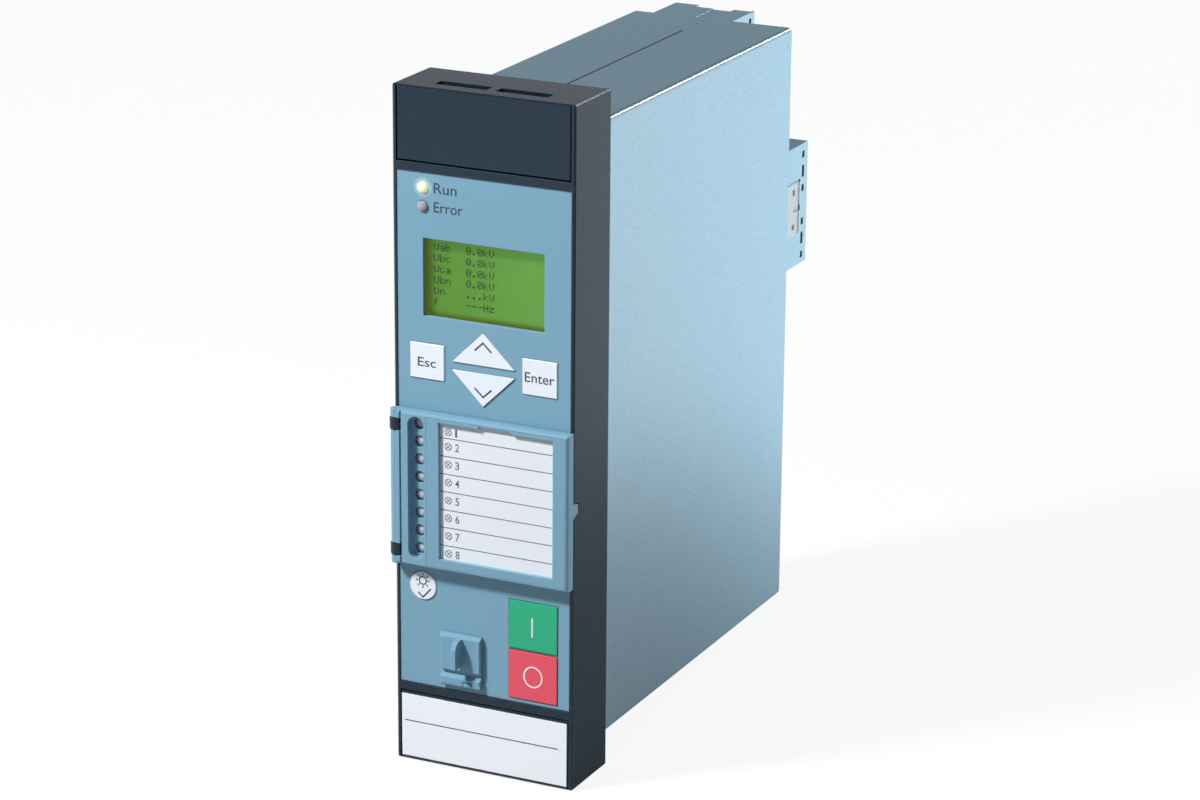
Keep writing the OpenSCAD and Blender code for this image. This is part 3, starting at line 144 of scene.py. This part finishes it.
white = start.add("Emission", {}, {"Color": mirror_ray.mix(WHITE, FLOOR_GLOSS_PAINTED_LIGHT), "Strength": 1.0})
paler = camera_ray + mirror_ray * (0.58 + 0.07 * far)
whiter = camera_ray * bleached + mirror_ray * far * (0.17 + 0.75 * behind)
lit = start.add("MixShader", {}, {0: paler, 1: grey, 2: pale})
shown = start.add("MixShader", {}, {0: whiter, 1: lit, 2: white})
start.add("OutputMaterial", {}, {"Surface": shown})

room = bpy.data.worlds.new("room")
bpy.context.scene.world = room
room.use_nodes = True
room.node_tree.nodes.clear()
start = Wire(room.node_tree)
camera_ray, mirror_ray = start.rays()
ceiling = 1 - 0.81 * start.add("TexCoord", out="Generated").along("Z").ramp(0.0, 0.3)
unseen = mirror_ray * ceiling + (1 - mirror_ray) * ROOM_LEVEL
sky = start.add("Background", {}, {
    "Color": (camera_ray + mirror_ray).mix(ROOM_LIGHT, WHITE),
    "Strength": camera_ray + (1 - camera_ray) * unseen,
})
start.add("OutputWorld", {}, {"Surface": sky})


def lamp(name, stand, size, power, in_gloss=False):
    """A square soft lamp that looks at the relay's middle; most don't show in gloss."""
    light = bpy.data.lights.new(name, "AREA")
    light.size, light.energy = size, power
    made = put(name, light)
    made.location = stand
    made.visible_glossy = in_gloss
    made.rotation_euler = (-Vector(stand)).to_track_quat("-Z", "Y").to_euler()


lamp("key_lamp", (-0.714, -0.850, 1.155), size=0.2, power=35)
lamp("side_lamp", (1.5, 0.75, 0.3), size=1.0, power=15)
lamp("rear_lamp", (0.56, 1.72, 0.92), size=0.3, power=3.0, in_gloss=True)

lens = bpy.data.cameras.new("camera")
lens.sensor_width, lens.lens, lens.clip_start = 36, 118.04, 0.05
camera = put("camera", lens)
ahead, right = Vector((-0.4126, 0.8572, -0.3082)), Vector((0.9000, 0.4359, 0.0074))
turn = Matrix((right, right.cross(ahead), -ahead)).transposed().to_4x4()
camera.matrix_world = Matrix.Translation((0.6396, -1.2581, 0.4660)) @ turn
bpy.context.scene.camera = camera
bpy.context.scene.view_settings.view_transform = "Standard"


# The housing: two shells of thin zinc-coated steel sheet, bent to shape and joined
# by a seam along the top, closed by a rear plate. Two bent brackets stand on the
# rear plate and carry the terminals.


MICRON = 0.000001


def begin(name):
    """Starts a material; gives it and the place on the piece in metres."""
    made = bpy.data.materials.new(name)
    made.use_nodes = True
    return made, Wire(made.node_tree).add("TexCoord", out="Object")


def noise(spot, scale, detail=2.0, roughness=0.5):
    """An even random pattern, with about this many spots to the metre."""
    return spot.add("TexNoise", {}, {
        "Vector": spot, "Scale": scale, "Detail": detail, "Roughness": roughness,
    })


def bump(pattern, rise, rounded=0):
    """Raises the surface by a pattern, and rounds the look of its edges, in microns."""
    values = {"Strength": 1.0, "Distance": rise * MICRON, "Height": pattern}
    if rounded:
        values["Normal"] = pattern.add("Bevel", {"samples": 6}, {"Radius": rounded * MICRON})
    return pattern.add("Bump", {}, values)


def dress(made, names, inputs):
    """Feeds the material's shader, and puts the material on the named CAD pieces."""
    shader = made.node_tree.nodes["Principled BSDF"]
    for key, value in inputs.items():
        if isinstance(value, Wire):
            made.node_tree.links.new(value.socket, shader.inputs[key])
        else:
            shader.inputs[key].default_value = value
    for name in names:
        nodes[name].data.materials.clear()
        nodes[name].data.materials.append(made)


SEAM_LEFT, SEAM_RIGHT, SEAM_END = -0.0019, -0.0011, 0.148
ROOF = 0.115

zinc, spot = begin("zinc_sheet")
fleck = noise(spot, 1300, 3, 0.65).ramp(0.38, 0.68)
cloud = noise(spot, 25, 3)
across = spot.along("X")
on_roof = (spot.along("Z") > ROOF) * (spot.along("Y") < SEAM_END)
# On the roof the seam is drawn as a dark line, partly dirt in the joint and partly painted shade in
# it.
seam_dirt_and_shade = (across > SEAM_LEFT) * (across < SEAM_RIGHT) * on_roof
sheet = (0.75 * fleck + 0.25 * cloud).mix(colour(194, 213, 223), colour(210, 228, 237))
dress(zinc, ["housing_left", "housing_right", "rear_plate", "top_bracket", "side_bracket"], {
    "Base Color": seam_dirt_and_shade.mix(sheet, colour(72, 88, 98)),
    "Roughness": 0.32 - 0.06 * fleck + 0.3 * seam_dirt_and_shade,
    "Metallic": 0.95,
    "Specular Tint": (0.55, 0.78, 0.92, 1),
    "Normal": bump(fleck, 1.5, 100),
})

# The screws, pins and clip: small turned and pressed steel parts with a bright zinc
# coat. The clip is paler spring steel that snaps on the side bracket, and the earth
# screw at the back is brass.
steel, spot = begin("bright_zinc")
turned = noise(spot, 4000, 1)
dress(steel, ["hinge_pin", "usb_cover_pin", "usb_socket", "panel_screws", "rear_screws",
              "frame_screws", "terminal_screws"], {
    "Base Color": turned.mix(colour(176, 198, 212), colour(206, 224, 235)),
    "Roughness": 0.22 + 0.15 * turned,
    "Metallic": 1.0,
    "Normal": bump(turned, 10, 200),
})
spring, spot = begin("spring_clip")
drawn_marks = noise(spot, 2500)
dress(spring, ["bracket_clip"], {
    "Base Color": drawn_marks.mix(colour(226, 234, 239), colour(240, 245, 248)),
    "Roughness": 0.38 + 0.15 * drawn_marks,
    "Metallic": 0.35,
    "Normal": bump(drawn_marks, 5, 200),
})
brass, spot = begin("dull_brass")
turned = noise(spot, 3000)
dress(brass, ["earth_screw"], {
    "Base Color": turned.mix(colour(182, 150, 82), colour(214, 182, 110)),
    "Roughness": 0.3 + 0.2 * turned,
    "Metallic": 1.0,
    "Normal": bump(turned, 10, 200),
})

# The terminal blocks, sockets and chip bodies: moulded black plastic with a fine
# spark-eroded grain, plugged or soldered in place.
black, spot = begin("black_plastic")
grain = noise(spot, 5000)
dress(black, ["top_terminal_block", "side_terminal_block", "lower_terminal_block",
              "key_switches", "board_guides", "logic_chips", "rear_connectors",
              "board_connector", "input_couplers", "battery_holder"], {
    "Base Color": grain.mix(colour(30, 32, 35), colour(46, 49, 53)),
    "Roughness": 0.45 + 0.2 * grain,
    "Normal": bump(grain, 20, 300),
})

# The circuit boards: glass-fibre sheet with green lacquer over copper tracks and
# small plated holes. Two slide in guides, the front one is screwed behind the panel.
board, spot = begin("green_board")
bands = {"Vector": spot, "Scale": 120, "Distortion": 3, "Detail": 1}
tracks = spot.add("TexWave", {"bands_direction": "Z"}, bands).ramp(0.45, 0.6)
holes = spot.add("TexVoronoi", {}, {"Vector": spot, "Scale": 260}) < 0.16
lacquer = tracks.mix(colour(22, 84, 48), colour(44, 118, 70))
dress(board, ["front_board", "cpu_board", "io_board"], {
    "Base Color": holes.mix(lacquer, colour(200, 180, 120)),
    "Roughness": 0.35 + 0.2 * tracks,
    "Metallic": 0.8 * holes,
    "Normal": bump(tracks, 30),
})

# The transformers: stacks of dark iron sheets, whose edges show as fine lines
# under a thin varnish.
core, spot = begin("core_sheets")
bands = {"Vector": spot, "Scale": 600, "Distortion": 0.4}
leaves = spot.add("TexWave", {"bands_direction": "Y"}, bands)
rust = noise(spot, 200, 3)
dress(core, ["voltage_transformers", "power_transformer"], {
    "Base Color": rust.mix(colour(70, 64, 56), colour(108, 96, 80)),
    "Roughness": 0.4 + 0.2 * leaves,
    "Metallic": 0.4,
    "Normal": bump(leaves, 50),
})

# The output relays and capacitors, soldered to the board in glossy blue cases, and
# the buffer cell in its shrunk plastic sleeve.
case, spot = begin("blue_case")
ripple = noise(spot, 900)
dress(case, ["output_relays", "supply_capacitors"], {
    "Base Color": ripple.mix(colour(44, 76, 118), colour(56, 92, 138)),
    "Roughness": 0.22 + 0.15 * ripple,
    "Normal": bump(ripple, 20, 300),
})
cell, spot = begin("cell_sleeve")
ripple = noise(spot, 700)
dress(cell, ["buffer_battery"], {
    "Base Color": ripple.mix(colour(58, 106, 160), colour(70, 122, 178)),
    "Roughness": 0.25 + 0.15 * ripple,
    "Normal": bump(ripple, 30),
})

# The front frame and its two caps: slate-grey moulded plastic with a fine grain,
# lighter along the edges, partly from rubbing and partly as a painted highlight. The
# caps snap over the mounting screws.


# Marks the edges that are painted lighter, partly as wear and partly as a painted highlight.
def edge_wear_and_highlight(spot, width):
    """Is 1 along the edges of a piece, this many microns wide, and 0 on its faces."""
    flat = spot.add("NewGeometry", out="Normal")
    rounded = spot.add("Bevel", {"samples": 6}, {"Radius": width * MICRON})
    pair = {0: flat, 1: rounded}
    alike = spot.add("VectorMath", {"operation": "DOT_PRODUCT"}, pair, "Value")
    return (1 - alike).ramp(0.02, 0.25)


slate, spot = begin("slate_plastic")
grain = noise(spot, 2500, 3, 0.6)
cloud = noise(spot, 40)
edge = edge_wear_and_highlight(spot, 400)
face = (0.7 * grain + 0.3 * cloud).mix(colour(20, 32, 44), colour(28, 42, 55))
dress(slate, ["bezel_frame", "top_cap", "bottom_cap"], {
    "Base Color": (0.5 * edge).mix(face, colour(110, 124, 136)),
    "Roughness": 0.2 + 0.14 * grain,
    "Specular IOR Level": 0.38,
    "Specular Tint": (0.75, 0.9, 1, 1),
    "Normal": bump(grain, 20, 120),
})

# The nameplate: a white laminate strip glued into the lower cap, left bare but for
# one thin black rule. Printing is measured in millimetres.


INK = 0.03
PLATE_FACE = -29.2


def drawn(name, shapes, face, body, made):
    """One layer of ink on the face at this Y: shapes in X and Z, seen from the front."""
    points, faces = [], []
    for places, loops in shapes:
        faces += [[len(points) + k for k in loop] for loop in loops]
        points += [(x / 1000, (face - INK) / 1000, z / 1000) for x, z in places]
    mesh = bpy.data.meshes.new(name)
    mesh.from_pydata(points, [], faces)
    mesh.materials.append(made)
    piece = put(name, mesh)
    layer = piece.modifiers.new("layer", "SOLIDIFY")
    layer.thickness, layer.offset = INK / 1000, -1
    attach(piece, body)


def bar(left, right, low, high):
    """An upright rectangle."""
    return [(left, low), (right, low), (right, high), (left, high)], [(0, 1, 2, 3)]


def ink(name, shade):
    """Printing ink in one shade, a little uneven and with a soft sheen."""
    made, spot = begin(name)
    cover = noise(spot, 3000)
    lighter = [min(255, c + 14) for c in shade]
    dress(made, [], {
        "Base Color": cover.mix(colour(*shade), colour(*lighter)),
        "Roughness": 0.4 + 0.2 * cover,
    })
    return made


plate, spot = begin("white_plate")
fibre = noise(spot, 1200, 3)
dress(plate, ["nameplate"], {
    "Base Color": fibre.mix(colour(240, 245, 250), colour(247, 250, 254)),
    "Roughness": 0.3 + 0.15 * fibre,
    "Normal": bump(fibre, 10, 300),
})
rule = bar(-33.8, 31.6, -117.0, -116.6)
drawn("nameplate_rule", [rule], PLATE_FACE, "relay", ink("dark_ink", (38, 46, 58)))

# The front panel: one grey-blue satin plastic plate with the openings for the
# display, keys and lamps, and the words by the two lamps at the top. The flap and
# the port cover are moulded from the same plastic.


PANEL_FACE = -28.6
RUN_LAMP = (-0.025, -0.0286, 0.0953)


def lettering(words, left, right, low, high):
    """Words in the plain built-in face, stretched to fill a box."""
    curve = bpy.data.curves.new("words", "FONT")
    curve.body, curve.resolution_u, curve.offset = words, 6, 0.006
    holder = put("words", curve)
    evaluated = holder.evaluated_get(bpy.context.evaluated_depsgraph_get())
    flat = bpy.data.meshes.new_from_object(evaluated)
    bpy.data.objects.remove(holder)
    xs, ys = [v.co.x for v in flat.vertices], [v.co.y for v in flat.vertices]
    wide, tall = (right - left) / (max(xs) - min(xs)), (high - low) / (max(ys) - min(ys))
    points = [(left + (x - min(xs)) * wide, low + (y - min(ys)) * tall) for x, y in zip(xs, ys)]
    return points, [list(p.vertices) for p in flat.polygons]


satin, spot = begin("panel_satin")
grain = noise(spot, 3500)
cloud = noise(spot, 18)
edge = edge_wear_and_highlight(spot, 400)
# Round the lit Run lamp the panel is made to glow: a painted pool of the lamp's light.
pair = {0: spot, 1: RUN_LAMP}
from_lamp = spot.add("VectorMath", {"operation": "DISTANCE"}, pair, "Value")
painted_lamp_glow = 1 - from_lamp.ramp(0.0019, 0.0042)
face = (0.6 * cloud + 0.4 * grain).mix(colour(114, 156, 178), colour(126, 168, 190))
dress(satin, ["front_panel", "label_flap", "label_frame", "usb_cover"], {
    # The edges are made lighter, partly as wear and partly as a painted highlight.
    "Base Color": (0.4 * edge).mix(face, colour(186, 216, 232)),
    "Roughness": 0.42 + 0.15 * grain,
    "Emission Color": painted_lamp_glow.mix((0, 0, 0, 1), colour(255, 250, 215)),
    "Emission Strength": 0.3,
    "Normal": bump(grain, 20, 300),
})
word_ink = ink("word_ink", (48, 62, 76))
lamp_words = [lettering("Run", -20.5, -11.0, 93.4, 97.4),
              lettering("Error", -20.5, -8.5, 86.2, 90.2)]
drawn("lamp_words", lamp_words, PANEL_FACE, "relay", word_ink)

# The display: a backlit green glass under a clear acrylic window, its signs made
# of small square dots in two columns.
LEFT_RIM, LOWER_RIM, UPPER_RIM = (-0.0251, -0.0215), (0.046, 0.048), (0.0745, 0.0762)
glass, spot = begin("display_glass")
across, upward = spot.along("X"), spot.along("Z")
# Along its left, lower and upper edges the glass is darker olive, partly its own unlit border and
# partly painted shade of the recess it lies in.
rim_border_and_shade = (1 - across.ramp(*LEFT_RIM)) + (1 - upward.ramp(*LOWER_RIM)) + upward.ramp(*UPPER_RIM)
green = across.ramp(-0.02, 0.025).mix(colour(94, 148, 54), colour(106, 164, 74))
lighted = rim_border_and_shade.math("MINIMUM", rim_border_and_shade, 1).mix(green, colour(88, 108, 38))
mottle = noise(spot, 500)
dress(glass, ["lcd_module"], {
    "Base Color": (0.35 + 0.1 * mottle).mix((0, 0, 0, 1), lighted),
    "Emission Color": lighted,
    "Emission Strength": 0.75,
    "Roughness": 0.25 + 0.1 * mottle,
    "Specular IOR Level": 0.1,
})
clear, spot = begin("clear_window")
smear = noise(spot, 120)
dress(clear, ["display_window"], {
    "Base Color": colour(20, 34, 24),
    "Roughness": 0.04 + 0.06 * smear,
    "Alpha": 0.05 + 0.05 * smear,
})
DOTS = {  # seven rows of five dots for each sign, from the top, as the bits of a number
    "U": (17, 17, 17, 17, 17, 17, 14), "a": (0, 0, 14, 1, 15, 17, 15),
    "b": (16, 16, 22, 25, 17, 17, 30), "c": (0, 0, 14, 16, 16, 17, 14),
    "n": (0, 0, 22, 25, 17, 17, 17), "f": (6, 9, 8, 28, 8, 8, 8),
    "0": (14, 17, 19, 21, 25, 17, 14), ".": (0, 0, 0, 0, 0, 12, 12),
    "-": (0, 0, 0, 31, 0, 0, 0), "k": (16, 16, 18, 20, 24, 20, 18),
    "V": (17, 17, 17, 17, 17, 10, 4), "H": (17, 17, 17, 31, 17, 17, 17),
    "z": (0, 0, 31, 2, 4, 8, 31),
}
READINGS = [("Uab", "0.0kV"), ("Ubc", "0.0kV"), ("Uca", "0.0kV"), ("Ubn", "0.0kV"),
            ("Un", "...kV"), ("f", "---Hz")]
GLASS_FACE, NAMES_LEFT, VALUES_LEFT = -25.1, -22.3, -9.0
FIRST_ROW, ROW_STEP = 73.6, 4.2
DOT, GAP = 0.4, 0.02
SIGN_PITCH, SIGN_DOTS = 6, 5


def dotted(words, left, top):
    """The square dots of a few signs side by side."""
    squares = []
    for place, sign in enumerate(words):
        for down, bits in enumerate(DOTS[sign]):
            for step in range(SIGN_DOTS):
                if bits >> (SIGN_DOTS - 1 - step) & 1:
                    x = left + (place * SIGN_PITCH + step) * DOT
                    z = top - down * DOT
                    squares.append(bar(x, x + DOT - GAP, z - DOT + GAP, z))
    return squares


signs = []
for row, (quantity, value) in enumerate(READINGS):
    signs += dotted(quantity, NAMES_LEFT, FIRST_ROW - ROW_STEP * row)
    signs += dotted(value, VALUES_LEFT, FIRST_ROW - ROW_STEP * row)
drawn("display_signs", signs, GLASS_FACE, "relay", ink("display_ink", (8, 30, 16)))

# The keys: moulded satin caps on dome switches. Five are white, two of them
# arrow-shaped and one round, and a green and a red one are for switching. Their
# signs are printed on the caps.


KEY_FACE = -29.1
WHITE_KEYS = ["esc_key", "enter_key", "up_key", "down_key", "lamp_key"]
SUN_X, SUN_Z = -25.8, -58.6


def stroke(points, width, closed=False):
    """A line of even width through points."""
    count = len(points)
    spots = [Vector(p) for p in points]
    legs = [spots[(k + 1) % count] - spots[k] for k in range(count if closed else count - 1)]
    near, far = [], []
    for k, (x, z) in enumerate(points):
        way_in = legs[k - 1] if k or closed else legs[0]
        way_out = legs[k] if k < len(legs) else legs[-1]
        side = Vector((-way_in.y, way_in.x)).normalized()
        side += Vector((-way_out.y, way_out.x)).normalized()
        side *= width / side.length_squared
        near.append((x - side.x, z - side.y))
        far.append((x + side.x, z + side.y))
    ends = [(k, (k + 1) % count) for k in range(len(legs))]
    return near + far, [(a, b, count + b, count + a) for a, b in ends]


def ring(x, z, radius, width, tall=1.0):
    """A drawn circle, or an upright oval."""
    turns = [k * pi / 18 for k in range(36)]
    path = [(x + radius * cos(a), z + tall * radius * sin(a)) for a in turns]
    return stroke(path, width, closed=True)


for name, keys, low, high in (
        ("white_key", WHITE_KEYS, (226, 233, 242), (238, 243, 250)),
        ("green_key", ["close_key"], (34, 164, 119), (44, 178, 132)),
        ("red_key", ["open_key"], (224, 76, 94), (236, 88, 104))):
    made, spot = begin(name)
    grain = noise(spot, 3000)
    dress(made, keys, {
        "Base Color": grain.mix(colour(*low), colour(*high)),
        "Roughness": 0.35 + 0.15 * grain,
        "Normal": bump(grain, 10, 200),
    })
rays = []
for a in [k * pi / 4 for k in range(8)]:
    inner, outer = [(SUN_X + r * cos(a), SUN_Z + r * sin(a)) for r in (2.0, 3.0)]
    rays.append(stroke([inner, outer], 0.5))
tick = stroke([(-27.8, -63.5), (-25.8, -65.3), (-22.4, -61.5)], 0.6)
white_ink = ink("white_ink", (232, 238, 240))
for name, shapes, body, slot, made in (
        ("esc_words", [lettering("Esc", -27.3, -19.7, 26.5, 30.0)],
         "esc_button", "black", word_ink),
        ("enter_words", [lettering("Enter", 17.3, 29.5, 26.7, 30.5)],
         "enter_button", "black", word_ink),
        ("up_sign", [stroke([(3.5, 35.7), (0, 39.0), (-3.5, 35.7)], 0.65)],
         "up_button", "black", word_ink),
        ("down_sign", [stroke([(-3.5, 21.2), (0, 18.0), (3.5, 21.2)], 0.65)],
         "down_button", "black", word_ink),
        ("lamp_sign", [ring(SUN_X, SUN_Z, 1.5, 0.5), tick] + rays,
         "lamp_button", "black", word_ink),
        ("close_sign", [bar(20.25, 20.8, -73.6, -65.9)],
         "close_button", "key_white", white_ink),
        ("open_sign", [ring(20.9, -89.6, 3.75, 0.55, 1.08)],
         "open_button", "key_white", white_ink)):
    drawn(name, shapes, KEY_FACE, body, made)

# The lamps: clear moulded domes, soldered to the front board. The top one is lit, the
# others show the grey of their cups. The row in the flap's channel is given a lighter
# grey than the error lamp, as painted light against the shade of the channel.
for name, lamps, low, high in (
        ("error_lamp", ["error_led"], (146, 142, 156), (178, 172, 184)),
        ("row_lamps_painted_lighter", ["indicator_leds"], (176, 176, 198), (208, 206, 220))):
    made, spot = begin(name)
    haze = noise(spot, 900)
    dress(made, lamps, {
        "Base Color": haze.mix(colour(*low), colour(*high)),
        "Roughness": 0.12 + 0.1 * haze,
        "Coat Weight": 0.5,
    })
lamp_on, spot = begin("lamp_on")
haze = noise(spot, 900)
dress(lamp_on, ["run_led"], {
    "Base Color": haze.mix(colour(225, 222, 180), colour(240, 238, 205)),
    "Emission Color": haze.mix(colour(240, 232, 170), colour(250, 246, 205)),
    "Emission Strength": 0.4,
    "Roughness": 0.2 + 0.1 * haze,
})

# The label card: white card with grey rules between eight rows, each with a lamp
# sign and its number. It lies in a bed of the flap, under the label frame.
CARD_FACE = -32.3
SIGN_X, SIGN_RADIUS, SIGN_LINE = -13.0, 1.35, 0.3
CROSS_OUT, CROSS_IN = 0.82, 0.12
ROW_TOP, ROW_DROP, FIRST_SIGN = 4.8, 7.07, 3.4
RULES = (0.9, -6.2, -13.2, -20.2, -27.4, -34.4, -41.6)

card, spot = begin("white_card")
fibre = noise(spot, 1500, 4, 0.7)
dress(card, ["label_strip"], {
    "Base Color": fibre.mix(colour(226, 230, 236), colour(238, 241, 247)),
    "Roughness": 0.6 + 0.2 * fibre,
    "Normal": bump(fibre, 20),
})
cross = [((-CROSS_OUT, -CROSS_OUT), (CROSS_OUT, CROSS_OUT)),
         ((-CROSS_OUT, CROSS_OUT), (-CROSS_IN, CROSS_IN)),
         ((CROSS_IN, -CROSS_IN), (CROSS_OUT, -CROSS_OUT))]
rows = []
for k in range(8):
    z = ROW_TOP - ROW_DROP * k if k else FIRST_SIGN
    digit_right = -8.4 if k else -9.2
    rows.append(ring(SIGN_X, z, SIGN_RADIUS, SIGN_LINE))
    rows.append(lettering(str(k + 1), -10.1, digit_right, z - 1.55, z + 1.55))
    rows += [stroke([(SIGN_X + x, z + y) for x, y in line], SIGN_LINE) for line in cross]
rows += [bar(-16.4, 31.2, z - 0.17, z + 0.17) for z in RULES]
drawn("label_print", rows, CARD_FACE, "flap", ink("grey_ink", (88, 94, 104)))
